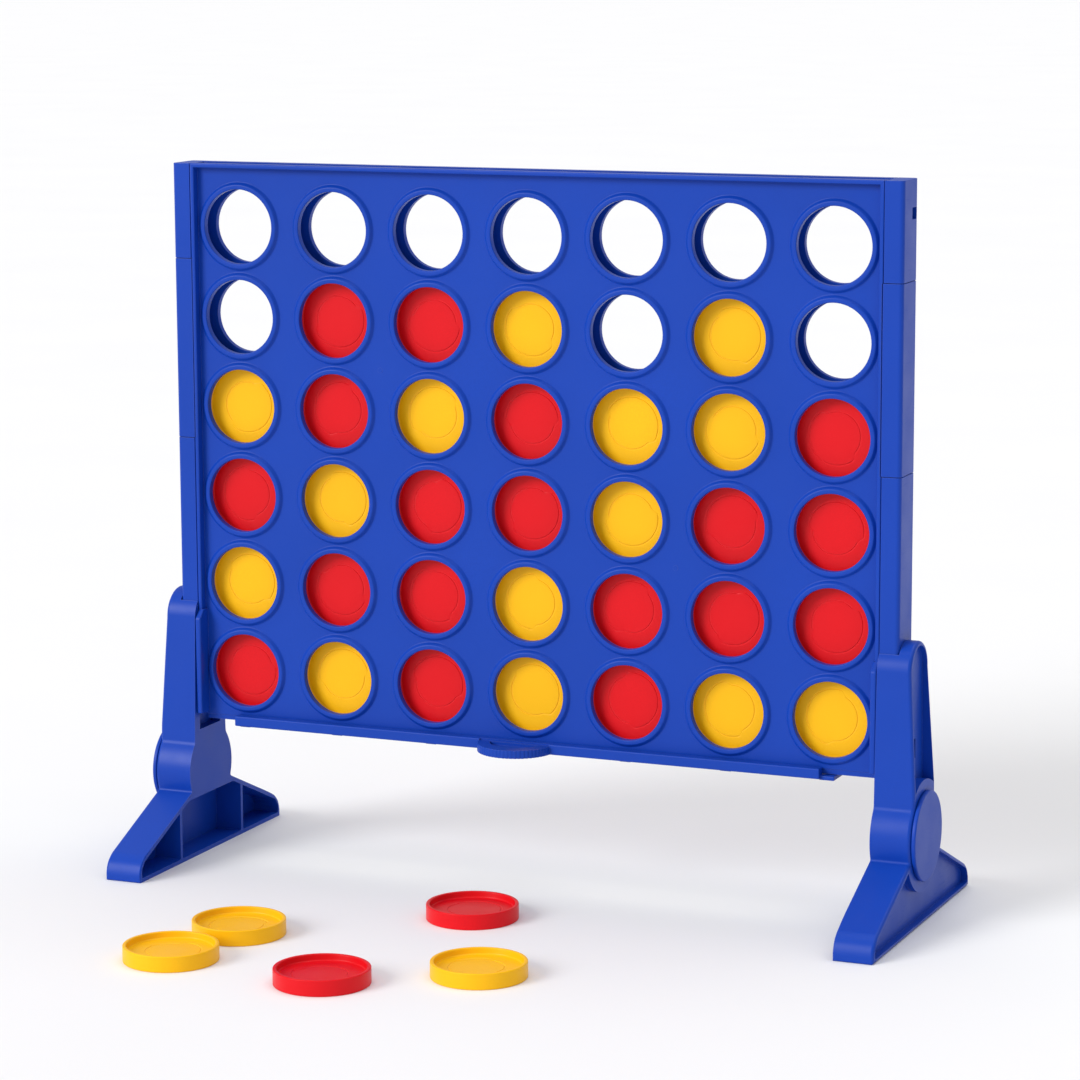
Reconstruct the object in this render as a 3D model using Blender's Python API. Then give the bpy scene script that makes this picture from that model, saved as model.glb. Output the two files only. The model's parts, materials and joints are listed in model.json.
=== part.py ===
"""Giant four in a row: an upright board of seven columns on two slide-on legs, with its discs.

Metres, +Z up. The board stands along X and its front faces -Y. The origin is on the floor, at
the middle of the footprint of the whole set, loose discs included.
"""

import math

import bmesh
import bpy
from mathutils import Matrix, Vector

MM = 0.001
GAP = 0.3 * MM

# Playing grid
COLUMNS = 7
COLUMN_PITCH = 75 * MM
ROWS = 6
ROW_PITCH = 65 * MM
BOTTOM_ROW_Z = 140 * MM
# Out to the corners of the holes. Their flat sides lie 27 mm from the middle.
HOLE_RADIUS = 27.5 * MM
HOLE_SIDES = 16

# Discs
DISC_RADIUS = 32.2 * MM
DISC_THICKNESS = 11 * MM
DISC_RIM_WIDTH = 2.6 * MM
DISC_RECESS = 4.5 * MM
DISC_SIDES = 16

# Front and rear panels, with the discs between them
PANEL_HALF_WIDTH = 261 * MM
PANEL_BOTTOM_Z = 105 * MM
PANEL_TOP_Z = 510 * MM
PANEL_INNER_Y = 6.5 * MM
PANEL_OUTER_Y = 9 * MM
BORDER_OUTER_Y = 15.4 * MM
BORDER_WIDTH = 3 * MM

# Thicker strip of the side border, beside each leg. The border ends level with it.
STRIP_WIDTH = 4.5 * MM
STRIP_OUTER_Y = 21 * MM
STRIP_BOTTOM_Z = 107 * MM
STRIP_TOP_Z = 184 * MM
STRIP_SLOPE = 6 * MM

# Rail under the front panel that the release slider runs along
RAIL_LEFT_X = -228 * MM
RAIL_RIGHT_X = 218 * MM
RAIL_FRONT_Y = 13 * MM
RAIL_BOTTOM_Z = 101.6 * MM
RAIL_TOP_Z = 103.6 * MM
RAIL_STEM_OVERLAP = 4 * MM

# Thinner foot of the front panel, which carries the rail
FOOT_STRIP_OUTER_Y = 8.4 * MM

# Dividers between the columns
DIVIDER_THICKNESS = 8 * MM
DIVIDER_BOTTOM_Z = 109 * MM
DIVIDER_TOP_Z = 508.5 * MM

# End posts, each in three lengths
POST_OUTER_X = 275 * MM
POST_HALF_DEPTH = 15.4 * MM
POST_CHAMFER = 2 * MM
POST_BOTTOM_Z = 109 * MM
POST_JOINT_LOW_Z = 311 * MM
POST_JOINT_HIGH_Z = 441.5 * MM

# Release slider: a bar along the front with a finger under the middle of each column
SLIDER_CENTRE_X = -5.4 * MM
SLIDER_HALF_LENGTH = 226.6 * MM
SLIDER_FRONT_Y = 17 * MM
SLIDER_BOTTOM_Z = 99.1 * MM
SLIDER_TOP_Z = 106.5 * MM
FINGER_WIDTH = 9 * MM
FINGER_FRONT_Y = 14 * MM
FINGER_BOTTOM_Z = 98.1 * MM
FINGER_PLATE_TOP_Z = 101.2 * MM
FINGER_HALF_DEPTH = 5.5 * MM
FINGER_TOP_Z = 107.4 * MM
GRIP_CENTRE_X = -8.5 * MM
GRIP_CENTRE_Y = -12.4 * MM
GRIP_RADIUS = 28 * MM
GRIP_TOP_Z = 105.2 * MM
GRIP_OVERLAP = 2 * MM
GRIP_STEPS = 16

# Legs
LEG_INNER_X = 261.3 * MM
LEG_TOP_OUTER_X = 285.2 * MM
LEG_OUTER_X = 290 * MM
LEG_TAPER_START_Z = 96 * MM
LEG_ARCH_Z = 177 * MM
LEG_ARCH_RADIUS = 20.5 * MM
LEG_LOW_HALF_DEPTH = 24 * MM
ARCH_STEPS = 10
SOCKET_BOTTOM_Z = 108.7 * MM
FINGER_POCKET_X = 269 * MM
FINGER_POCKET_BOTTOM_Z = 94 * MM
LEG_WALL = 3 * MM
LEG_RIM_ROUND = 2.4 * MM
LEG_RIM_SEGMENTS = 2
UPPER_RECESS_X = 281.5 * MM
WINDOW_Y = -4.5 * MM
WINDOW_WIDTH = 3 * MM
WINDOW_LOW_Z = 115 * MM
WINDOW_HIGH_Z = 129 * MM

# Round hub of each leg, with its cap
HUB_Z = 62.5 * MM
HUB_RADIUS = 32.5 * MM
HUB_RING_RADIUS = 39 * MM
HUB_STEPS = 8
CAP_RADIUS = 31.5 * MM
CAP_OUTER_X = 293.3 * MM
CAP_SIDES = 32

# Feet
FOOT_SHOULDER_Z = 50 * MM
FOOT_HALF_LENGTH = 110 * MM
TOE_TOP_Y = 104 * MM
TOE_TOP_Z = 18 * MM
TOE_FACE_Z = 9 * MM
FOOT_RECESS_X = 285 * MM
FOOT_WEB = 2.5 * MM
FOOT_HOLLOW_TOP_Z = 44 * MM
RIB_Y = 47.5 * MM
RIB_THICKNESS = 3 * MM
CROSSING_STEPS = 40

# Discs in each column, from the bottom up: r is red, y is yellow
STACKS = ("ryry", "yryrr", "rrryr", "yyrry", "rryy", "yrryy", "yrrr")

# Loose discs on the floor: colour, X, and distance in front of the board's middle plane
LOOSE_DISCS = (
    ("yellow", -146.8 * MM, 272.7 * MM),
    ("yellow", -134 * MM, 200 * MM),
    ("red", -29.4 * MM, 283.4 * MM),
    ("red", -2.9 * MM, 103.2 * MM),
    ("yellow", 59 * MM, 231 * MM),
)
FARTHEST_DISC = max(distance for _, _, distance in LOOSE_DISCS)

# The board's middle plane stands behind the origin, which is at the middle of the footprint.
BOARD_Y = (FARTHEST_DISC + DISC_RADIUS - FOOT_HALF_LENGTH) / 2


def plastic(name, colour, roughness):
    """A moulded plastic."""
    made = bpy.data.materials.new(name)
    made.use_nodes = True
    shader = made.node_tree.nodes["Principled BSDF"]
    shader.inputs["Base Color"].default_value = (*colour, 1)
    shader.inputs["Roughness"].default_value = roughness
    shader.inputs["Metallic"].default_value = 0
    return made


def make_object(name, mesh_data, material=None):
    """An object of a finished bmesh, which is freed."""
    bmesh.ops.recalc_face_normals(mesh_data, faces=mesh_data.faces)
    mesh = bpy.data.meshes.new(name)
    mesh_data.to_mesh(mesh)
    mesh_data.free()
    obj = bpy.data.objects.new(name, mesh)
    bpy.context.scene.collection.objects.link(obj)
    if material:
        mesh.materials.append(material)
    return obj


def box(low, high, name="block", material=None):
    """A block between two corners."""
    low, high = Vector(low), Vector(high)
    size = high - low
    place = Matrix.Translation((low + high) / 2) @ Matrix.Diagonal((*size, 1))
    shape = bmesh.new()
    bmesh.ops.create_cube(shape, size=1, matrix=place)
    return make_object(name, shape, material)


def prism(outline, start, end, name="prism", material=None):
    """An outline of points pushed from its own plane along the vector from start to end."""
    start, end = Vector(start), Vector(end)
    shape = bmesh.new()
    corners = [shape.verts.new(Vector(point) + start) for point in outline]
    face = shape.faces.new(corners)
    grown = bmesh.ops.extrude_face_region(shape, geom=[face], use_keep_orig=True)
    moved = [item for item in grown["geom"] if isinstance(item, bmesh.types.BMVert)]
    bmesh.ops.translate(shape, verts=moved, vec=end - start)
    return make_object(name, shape, material)


def plate_yz(points, low_x, high_x, name="plate", material=None):
    """A prism along X, from points given as (y, z)."""
    outline = [(0, y, z) for y, z in points]
    return prism(outline, (low_x, 0, 0), (high_x, 0, 0), name, material)


def combine(target, others, operation):
    """Adds the others to the target, or cuts them from it, and removes them."""
    for other in others:
        step = target.modifiers.new(operation.lower(), "BOOLEAN")
        step.operation = operation
        step.solver = "EXACT"
        step.object = other
    graph = bpy.context.evaluated_depsgraph_get()
    finished = bpy.data.meshes.new_from_object(target.evaluated_get(graph))
    target.modifiers.clear()
    target.data = finished
    for other in others:
        bpy.data.objects.remove(other)


def shift(obj, offset):
    """Moves the mesh and leaves the object's origin where it is."""
    obj.data.transform(Matrix.Translation(offset))


def mirror_x(obj, name):
    """A copy on the other side of the board."""
    shape = bmesh.new()
    shape.from_mesh(obj.data)
    bmesh.ops.scale(shape, vec=(-1, 1, 1), verts=shape.verts)
    bmesh.ops.reverse_faces(shape, faces=shape.faces)
    return make_object(name, shape, obj.data.materials[0])


def arc(centre, radius, first, last, steps):
    """Points (y, z) on an arc. The angles are in degrees from +Y towards +Z."""
    angles = [math.radians(first + (last - first) * i / steps) for i in range(steps + 1)]
    return [(centre[0] + radius * math.cos(a), centre[1] + radius * math.sin(a)) for a in angles]


def other_half(points):
    """The same points on the other side of the middle plane, in the opposite order."""
    return [(-y, z) for y, z in reversed(points)]


def column_x(column):
    return (column - (COLUMNS - 1) / 2) * COLUMN_PITCH


def row_z(row):
    return BOTTOM_ROW_Z + row * ROW_PITCH


def hole_cutters(low_y, high_y):
    """One object holding a round cutter for every hole of a panel."""
    shape = bmesh.new()
    for column in range(COLUMNS):
        for row in range(ROWS):
            place = Matrix.Translation((column_x(column), (low_y + high_y) / 2, row_z(row)))
            bmesh.ops.create_cone(
                shape,
                cap_ends=True,
                segments=HOLE_SIDES,
                radius1=HOLE_RADIUS,
                radius2=HOLE_RADIUS,
                depth=high_y - low_y,
                matrix=place @ Matrix.Rotation(math.radians(90), 4, "X"),
            )
    return make_object("holes", shape)


def side_strip(side):
    """The thicker strip of the front panel's border beside one leg."""
    outline = [
        (-PANEL_INNER_Y, STRIP_BOTTOM_Z),
        (-STRIP_OUTER_Y, STRIP_BOTTOM_Z),
        (-STRIP_OUTER_Y, STRIP_TOP_Z - STRIP_SLOPE),
        (-BORDER_OUTER_Y, STRIP_TOP_Z),
        (-PANEL_INNER_Y, STRIP_TOP_Z),
    ]
    edges = sorted((side * PANEL_HALF_WIDTH, side * (PANEL_HALF_WIDTH - STRIP_WIDTH)))
    return plate_yz(outline, edges[0], edges[1])


def front_panel(material):
    """The perforated front panel, with its raised border, strips and slider rail."""
    panel = box(
        (-PANEL_HALF_WIDTH, -PANEL_OUTER_Y, PANEL_BOTTOM_Z),
        (PANEL_HALF_WIDTH, -PANEL_INNER_Y, PANEL_TOP_Z),
        "front_panel",
        material,
    )
    inner_x = PANEL_HALF_WIDTH - BORDER_WIDTH
    raised = [
        box(
            (-PANEL_HALF_WIDTH, -BORDER_OUTER_Y, PANEL_TOP_Z - BORDER_WIDTH),
            (PANEL_HALF_WIDTH, -PANEL_INNER_Y, PANEL_TOP_Z),
        )
    ]
    for side in (-1, 1):
        low_x, high_x = sorted((side * PANEL_HALF_WIDTH, side * inner_x))
        raised += [
            box((low_x, -BORDER_OUTER_Y, STRIP_BOTTOM_Z), (high_x, -PANEL_INNER_Y, PANEL_TOP_Z)),
            side_strip(side),
        ]
    combine(panel, raised, "UNION")
    return panel


def add_rail(panel):
    """Adds the thinner foot of the front panel, with the slider rail along it."""
    half_length = PANEL_HALF_WIDTH - BORDER_WIDTH
    stem = box(
        (-half_length, -FOOT_STRIP_OUTER_Y, RAIL_BOTTOM_Z),
        (half_length, -PANEL_INNER_Y, PANEL_BOTTOM_Z + RAIL_STEM_OVERLAP),
    )
    lip = box(
        (RAIL_LEFT_X, -RAIL_FRONT_Y, RAIL_BOTTOM_Z),
        (RAIL_RIGHT_X, -PANEL_INNER_Y, RAIL_TOP_Z),
    )
    combine(panel, [stem, lip], "UNION")


def turn_to_rear(obj, name):
    """The same shape turned half a turn about the board's upright middle line."""
    shape = bmesh.new()
    shape.from_mesh(obj.data)
    bmesh.ops.rotate(shape, cent=(0, 0, 0), matrix=Matrix.Rotation(math.pi, 3, "Z"), verts=shape.verts)
    return make_object(name, shape, obj.data.materials[0])


def build_panels(material):
    front = front_panel(material)
    combine(front, [hole_cutters(-2 * BORDER_OUTER_Y, 0)], "DIFFERENCE")
    rear = turn_to_rear(front, "rear_panel")
    add_rail(front)
    return [front, rear]


def build_dividers(material):
    made = []
    for number in range(1, COLUMNS):
        middle = (column_x(number - 1) + column_x(number)) / 2
        low = (middle - DIVIDER_THICKNESS / 2, GAP - PANEL_INNER_Y, DIVIDER_BOTTOM_Z)
        high = (middle + DIVIDER_THICKNESS / 2, PANEL_INNER_Y - GAP, DIVIDER_TOP_Z)
        made.append(box(low, high, f"column_divider_{number}", material))
    return made


def build_posts(material):
    """The end posts: each is three lengths stacked on one another."""
    inner_x = PANEL_HALF_WIDTH + GAP
    plan = [
        (inner_x, -POST_HALF_DEPTH),
        (POST_OUTER_X - POST_CHAMFER, -POST_HALF_DEPTH),
        (POST_OUTER_X, POST_CHAMFER - POST_HALF_DEPTH),
        (POST_OUTER_X, POST_HALF_DEPTH - POST_CHAMFER),
        (POST_OUTER_X - POST_CHAMFER, POST_HALF_DEPTH),
        (inner_x, POST_HALF_DEPTH),
    ]
    lengths = (
        ("lower", POST_BOTTOM_Z, POST_JOINT_LOW_Z - GAP / 2),
        ("middle", POST_JOINT_LOW_Z + GAP / 2, POST_JOINT_HIGH_Z - GAP / 2),
        ("upper", POST_JOINT_HIGH_Z + GAP / 2, PANEL_TOP_Z),
    )
    made = []
    for part, low_z, high_z in lengths:
        outline = [(x, y, 0) for x, y in plan]
        right = prism(outline, (0, 0, low_z), (0, 0, high_z), f"right_post_{part}", material)
        made += [right, mirror_x(right, f"left_post_{part}")]
    return made


def grip_outline():
    """Plan of the thumb grip, a half-moon in front of the slider bar."""
    half_angle = math.degrees(math.acos((SLIDER_FRONT_Y + GRIP_CENTRE_Y) / GRIP_RADIUS))
    bow = arc((GRIP_CENTRE_X, GRIP_CENTRE_Y), GRIP_RADIUS, -90 - half_angle, -90 + half_angle, GRIP_STEPS)
    back_y = GRIP_OVERLAP - SLIDER_FRONT_Y
    return bow + [(bow[-1][0], back_y), (bow[0][0], back_y)]


def finger(column):
    """One finger: a plate that passes under the front panel and a block under the discs."""
    low_x = column_x(column) - FINGER_WIDTH / 2
    high_x = low_x + FINGER_WIDTH
    outline = [
        (-FINGER_FRONT_Y, FINGER_BOTTOM_Z),
        (FINGER_HALF_DEPTH, FINGER_BOTTOM_Z),
        (FINGER_HALF_DEPTH, FINGER_TOP_Z),
        (-FINGER_HALF_DEPTH, FINGER_TOP_Z),
        (-FINGER_HALF_DEPTH, FINGER_PLATE_TOP_Z),
        (-FINGER_FRONT_Y, FINGER_PLATE_TOP_Z),
    ]
    return plate_yz(outline, low_x, high_x)


def build_slider(material):
    """The bar hooks round the rail and carries the fingers and the grip."""
    back_y = -PANEL_OUTER_Y - GAP
    bar_outline = [
        (-SLIDER_FRONT_Y, SLIDER_BOTTOM_Z),
        (back_y, SLIDER_BOTTOM_Z),
        (back_y, RAIL_BOTTOM_Z - GAP),
        (-RAIL_FRONT_Y - GAP, RAIL_BOTTOM_Z - GAP),
        (-RAIL_FRONT_Y - GAP, RAIL_TOP_Z + GAP),
        (back_y, RAIL_TOP_Z + GAP),
        (back_y, SLIDER_TOP_Z),
        (-SLIDER_FRONT_Y, SLIDER_TOP_Z),
    ]
    left_x = SLIDER_CENTRE_X - SLIDER_HALF_LENGTH
    right_x = SLIDER_CENTRE_X + SLIDER_HALF_LENGTH
    bar = plate_yz(bar_outline, left_x, right_x, "release_slider", material)
    outline = [(x, y, 0) for x, y in grip_outline()]
    grip = prism(outline, (0, 0, SLIDER_BOTTOM_Z), (0, 0, GRIP_TOP_Z))
    fingers = [finger(column) for column in range(COLUMNS)]
    combine(bar, [grip, *fingers], "UNION")
    return bar


def foot_line(inset):
    """Corners (y, z) of one side of the foot's outline, set in from the outside by a wall."""
    shoulder = (math.sqrt(HUB_RADIUS**2 - (HUB_Z - FOOT_SHOULDER_Z) ** 2), FOOT_SHOULDER_Z)
    run = Vector((TOE_TOP_Y - shoulder[0], TOE_TOP_Z - shoulder[1])).normalized()
    inward = Vector((run.y, -run.x)) * inset
    top = Vector(shoulder) + inward
    toe = Vector((TOE_TOP_Y, TOE_TOP_Z)) + inward
    face_y = FOOT_HALF_LENGTH - inset
    return [tuple(top), tuple(toe), (face_y, TOE_FACE_Z), (face_y, inset)]


def at_height(line, z):
    """Y of the sloping top of the foot at a height."""
    (top_y, top_z), (toe_y, toe_z) = line[:2]
    return top_y + (toe_y - top_y) * (top_z - z) / (top_z - toe_z)


def height_at(line, y):
    """Height of the sloping top of the foot at a Y."""
    (top_y, top_z), (toe_y, toe_z) = line[:2]
    return top_z - (top_z - toe_z) * (y - top_y) / (toe_y - top_y)


def leg_outline():
    """Side view of a leg: arch, tapered post, round hub and foot."""
    arch = arc((0, LEG_ARCH_Z), LEG_ARCH_RADIUS, 90, 0, ARCH_STEPS)
    hub_start = math.degrees(math.acos(LEG_LOW_HALF_DEPTH / HUB_RADIUS))
    hub_end = -math.degrees(math.asin((HUB_Z - FOOT_SHOULDER_Z) / HUB_RADIUS))
    hub = arc((0, HUB_Z), HUB_RADIUS, hub_start, hub_end, HUB_STEPS)
    half = arch + hub + foot_line(0)[1:]
    return half + other_half(half)[:-1]


def upper_recess():
    """Recess in the outside of the leg, above the ring round the hub."""
    arch = arc((0, LEG_ARCH_Z), LEG_ARCH_RADIUS - LEG_WALL, 90, 0, ARCH_STEPS)
    side_y = LEG_LOW_HALF_DEPTH - LEG_WALL
    ring_angle = math.degrees(math.acos(side_y / HUB_RING_RADIUS))
    ring = arc((0, HUB_Z), HUB_RING_RADIUS, ring_angle, 90, HUB_STEPS // 2)
    half = arch + ring
    return half + other_half(half)[1:-1]


def ring_crossing(line):
    """Where the sloping top of the foot crosses the ring round the hub."""
    start, end = Vector(line[0]), Vector(line[1])
    low, high = 0.0, 1.0
    for _ in range(CROSSING_STEPS):
        middle = (low + high) / 2
        point = start.lerp(end, middle)
        if (point - Vector((0, HUB_Z))).length < HUB_RING_RADIUS:
            low = middle
        else:
            high = middle
    return start.lerp(end, low)


def foot_recess():
    """Recess in the outside of the foot, below the ring round the hub."""
    line = foot_line(LEG_WALL)
    crossing = ring_crossing(line)
    angle = math.degrees(math.atan2(crossing.y - HUB_Z, crossing.x))
    ring = arc((0, HUB_Z), HUB_RING_RADIUS, -90, angle, HUB_STEPS)
    half = ring + line[1:]
    return half + other_half(half)[:-1]


def foot_hollows():
    """Hollows in the inside of the foot, between its two ribs and outside them."""
    line = foot_line(LEG_WALL)
    near = RIB_Y - RIB_THICKNESS / 2
    far = RIB_Y + RIB_THICKNESS / 2
    top_y = at_height(line, FOOT_HOLLOW_TOP_Z)
    half = [(top_y, FOOT_HOLLOW_TOP_Z), (near, height_at(line, near)), (near, LEG_WALL)]
    toe = [(far, height_at(line, far)), *line[1:], (far, LEG_WALL)]
    return [half + other_half(half), toe, other_half(toe)]


def round_outer_rim(leg):
    """Rounds the outline of a leg on its outside, down to the sole."""
    shape = bmesh.new()
    shape.from_mesh(leg.data)
    bmesh.ops.dissolve_limit(
        shape, angle_limit=math.radians(1), verts=shape.verts, edges=shape.edges, delimit={"NORMAL"}
    )
    rim = []
    for edge in shape.edges:
        outer = sorted(face.normal.x for face in edge.link_faces)
        low_z = min(vert.co.z for vert in edge.verts)
        if low_z > 0 or max(vert.co.z for vert in edge.verts) > LEG_WALL:
            if outer[0] < 0.5 and outer[1] > 0.9:
                rim.append(edge)
    bmesh.ops.bevel(
        shape,
        geom=rim,
        offset=LEG_RIM_ROUND,
        offset_type="OFFSET",
        affect="EDGES",
        segments=LEG_RIM_SEGMENTS,
        profile=0.5,
        clamp_overlap=True,
        material=-1,
    )
    shape.to_mesh(leg.data)
    shape.free()


def build_leg(material):
    """The right leg: it slides up over the foot of the right post."""
    leg = plate_yz(leg_outline(), LEG_INNER_X, LEG_OUTER_X, "right_leg", material)
    high_z = LEG_ARCH_Z + 2 * LEG_ARCH_RADIUS
    deep = 2 * FOOT_HALF_LENGTH
    slant = [
        (LEG_OUTER_X, LEG_TAPER_START_Z),
        (LEG_OUTER_X + LEG_WALL, LEG_TAPER_START_Z),
        (LEG_OUTER_X + LEG_WALL, high_z),
        (LEG_TOP_OUTER_X, high_z),
        (LEG_TOP_OUTER_X, LEG_ARCH_Z),
    ]
    outline = [(x, 0, z) for x, z in slant]
    socket_y = POST_HALF_DEPTH + GAP
    combine(leg, [prism(outline, (0, -deep, 0), (0, deep, 0))], "DIFFERENCE")
    round_outer_rim(leg)
    cuts = [
        plate_yz(upper_recess(), UPPER_RECESS_X, LEG_OUTER_X + LEG_WALL),
        plate_yz(foot_recess(), FOOT_RECESS_X, LEG_OUTER_X + LEG_WALL),
        box(
            (LEG_INNER_X - LEG_WALL, -socket_y, SOCKET_BOTTOM_Z),
            (POST_OUTER_X + GAP, socket_y, high_z),
        ),
        box(
            (LEG_INNER_X - LEG_WALL, -socket_y, FINGER_POCKET_BOTTOM_Z),
            (FINGER_POCKET_X, socket_y, SOCKET_BOTTOM_Z + LEG_WALL),
        ),
        box(
            (POST_OUTER_X, WINDOW_Y - WINDOW_WIDTH / 2, WINDOW_LOW_Z),
            (LEG_OUTER_X, WINDOW_Y + WINDOW_WIDTH / 2, WINDOW_HIGH_Z),
        ),
    ]
    hollow_x = FOOT_RECESS_X - FOOT_WEB
    cuts += [plate_yz(hollow, LEG_INNER_X - LEG_WALL, hollow_x) for hollow in foot_hollows()]
    combine(leg, cuts, "DIFFERENCE")
    return leg


def build_cap(material):
    """The flat round cap on the outside of the right leg's hub."""
    outline = arc((0, HUB_Z), CAP_RADIUS, 0, 360 - 360 / CAP_SIDES, CAP_SIDES - 1)
    return plate_yz(outline, LEG_OUTER_X + GAP, CAP_OUTER_X, "right_hub_cap", material)


def build_legs(material):
    leg = build_leg(material)
    cap = build_cap(material)
    return [leg, mirror_x(leg, "left_leg"), cap, mirror_x(cap, "left_hub_cap")]


def disc(name, material, face):
    """A disc with a recessed face. Face is the direction that the recess looks."""
    shape = bmesh.new()
    bmesh.ops.create_cone(
        shape,
        cap_ends=True,
        segments=DISC_SIDES,
        radius1=DISC_RADIUS,
        radius2=DISC_RADIUS,
        depth=DISC_THICKNESS,
    )
    shape.faces.ensure_lookup_table()
    top = [f for f in shape.faces if f.normal.z > 0.9]
    bmesh.ops.inset_region(shape, faces=top, thickness=DISC_RIM_WIDTH, use_even_offset=True)
    sunk = bmesh.ops.extrude_face_region(shape, geom=top)
    moved = [item for item in sunk["geom"] if isinstance(item, bmesh.types.BMVert)]
    bmesh.ops.translate(shape, verts=moved, vec=(0, 0, -DISC_RECESS))
    bmesh.ops.delete(shape, geom=top, context="FACES_ONLY")
    turn = Vector((0, 0, 1)).rotation_difference(Vector(face)).to_matrix()
    bmesh.ops.rotate(shape, cent=(0, 0, 0), matrix=turn, verts=shape.verts)
    return make_object(name, shape, material)


def build_discs(colours):
    """The discs in the columns, each facing forward, and the loose ones, which lie face up."""
    for column, stack in enumerate(STACKS):
        for row, letter in enumerate(stack):
            colour = "red" if letter == "r" else "yellow"
            name = f"column_{column + 1}_disc_{row + 1}_{colour}"
            made = disc(name, colours[colour], (0, -1, 0))
            made.location = (column_x(column), BOARD_Y, row_z(row))
    for number, (colour, x, distance) in enumerate(LOOSE_DISCS, start=1):
        made = disc(f"loose_disc_{number}_{colour}", colours[colour], (0, 0, 1))
        made.location = (x, BOARD_Y - distance, DISC_THICKNESS / 2)


def main():
    for obj in list(bpy.data.objects):
        bpy.data.objects.remove(obj)
    blue = plastic("blue_plastic", (0.02, 0.07, 0.5), 0.4)
    colours = {
        "red": plastic("red_plastic", (0.75, 0.015, 0.02), 0.4),
        "yellow": plastic("yellow_plastic", (0.95, 0.55, 0.015), 0.4),
    }
    board = build_panels(blue) + build_dividers(blue) + build_posts(blue)
    board += [build_slider(blue), *build_legs(blue)]
    for obj in board:
        shift(obj, (0, BOARD_Y, 0))
    build_discs(colours)


main()
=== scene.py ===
"""Looks for the giant four in a row: moulded board, legs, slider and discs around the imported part."""

import json
import math

import bmesh
import bpy
from mathutils import Matrix, Vector


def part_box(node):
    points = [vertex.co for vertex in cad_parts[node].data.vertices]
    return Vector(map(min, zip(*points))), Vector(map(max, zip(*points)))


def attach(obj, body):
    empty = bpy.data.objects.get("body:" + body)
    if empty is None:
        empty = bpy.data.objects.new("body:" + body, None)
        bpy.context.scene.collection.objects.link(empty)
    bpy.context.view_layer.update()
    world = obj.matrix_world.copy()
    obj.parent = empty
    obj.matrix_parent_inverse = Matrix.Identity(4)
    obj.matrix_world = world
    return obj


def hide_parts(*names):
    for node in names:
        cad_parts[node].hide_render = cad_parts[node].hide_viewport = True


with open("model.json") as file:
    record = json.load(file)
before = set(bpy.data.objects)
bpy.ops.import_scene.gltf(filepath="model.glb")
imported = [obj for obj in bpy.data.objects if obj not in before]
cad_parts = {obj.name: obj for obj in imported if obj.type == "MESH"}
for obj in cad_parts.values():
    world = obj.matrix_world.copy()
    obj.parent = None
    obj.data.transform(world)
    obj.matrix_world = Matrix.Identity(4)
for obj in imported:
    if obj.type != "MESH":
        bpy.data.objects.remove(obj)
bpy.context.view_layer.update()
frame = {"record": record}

bl_info = {
    "name": "Giant Four in a Row",
    "version": (1, 0, 0),
    "blender": (4, 5, 0),
    "location": "3D View > Sidebar > Four in a Row",
    "description": "Moulded pieces, finishes and stage of a giant four in a row game",
    "category": "Object",
}

MM = 0.001
TINY = 1e-6

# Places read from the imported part
PANEL_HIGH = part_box("front_panel")[1]
POST_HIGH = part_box("right_post_upper")[1]
FIRST_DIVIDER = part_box("column_divider_1")
COLUMN_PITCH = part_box("column_divider_2")[0].x - FIRST_DIVIDER[0].x
ROW_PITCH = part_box("column_1_disc_2_yellow")[0].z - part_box("column_1_disc_1_red")[0].z
BOARD_Y = (FIRST_DIVIDER[0].y + FIRST_DIVIDER[1].y) / 2
BOTTOM_ROW_Z = sum(corner.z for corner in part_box("column_1_disc_1_red")) / 2
COLUMNS = 7
ROWS = 6
BOARD = "board"

# Front and rear mouldings, as distances from the board's middle plane
PANEL_HALF_WIDTH = PANEL_HIGH.x
PANEL_TOP_Z = PANEL_HIGH.z
PANEL_BOTTOM_Z = 105 * MM
SHEET_BACK = 6.5 * MM
SHEET_FRONT = 9 * MM
BORDER_FRONT = 15.4 * MM
BORDER_WIDTH = 3 * MM
BORDER_BOTTOM_Z = 107 * MM
HOLE_RADIUS = 26.8 * MM
HOLE_SIDES = 64
SHEET_LAP = 1 * MM
STRIP_WIDTH = 4.5 * MM
STRIP_FRONT = 21 * MM
STRIP_TOP_Z = 184 * MM
STRIP_SLOPE = 6 * MM
SNAP_Y = (3 * MM, 12.6 * MM)
SNAP_Z = (483 * MM, 491 * MM)
SNAP_DEPTH = 4 * MM
GATE_MARKS = ((-114 * MM, 366 * MM), (111 * MM, 238 * MM))
GATE_MARK_RADIUS = 1.9 * MM
GATE_MARK_HEIGHT = 0.15 * MM
SEAM_LOW_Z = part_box("right_post_middle")[0].z
SEAM_HIGH_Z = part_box("right_post_middle")[1].z
RAIL_X = (-228 * MM, 217.5 * MM)
RAIL_Z = (101.6 * MM, 103.6 * MM)
RAIL_FRONT = 13 * MM
FOOT_FRONT = 8.4 * MM

# Legs
LEG_LOW, LEG_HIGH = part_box("right_leg")
CAP_LOW, CAP_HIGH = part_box("right_hub_cap")
LEG_INNER_X = LEG_LOW.x
LEG_OUTER_X = LEG_HIGH.x
LEG_TOP_OUTER_X = 285.2 * MM
LEG_TAPER_Z = 96 * MM
ARCH_Z = 177 * MM
ARCH_RADIUS = 20.5 * MM
LEG_HALF_DEPTH = 24 * MM
HUB_Z = (CAP_LOW.z + CAP_HIGH.z) / 2
HUB_RADIUS = 32.5 * MM
RING_RADIUS = 39 * MM
CAP_RADIUS = (CAP_HIGH.z - CAP_LOW.z) / 2
WALL = 3 * MM
UPPER_RECESS_X = 281.5 * MM
FOOT_RECESS_X = 285 * MM
FOOT_WEB_X = 282.5 * MM
FOOT_SHOULDER_Z = 49.4 * MM
FOOT_HALF_LENGTH = (LEG_HIGH.y - LEG_LOW.y) / 2
TOE_TOP = (104 * MM, 17.2 * MM)
TOE_FACE_Z = 9 * MM
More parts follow.
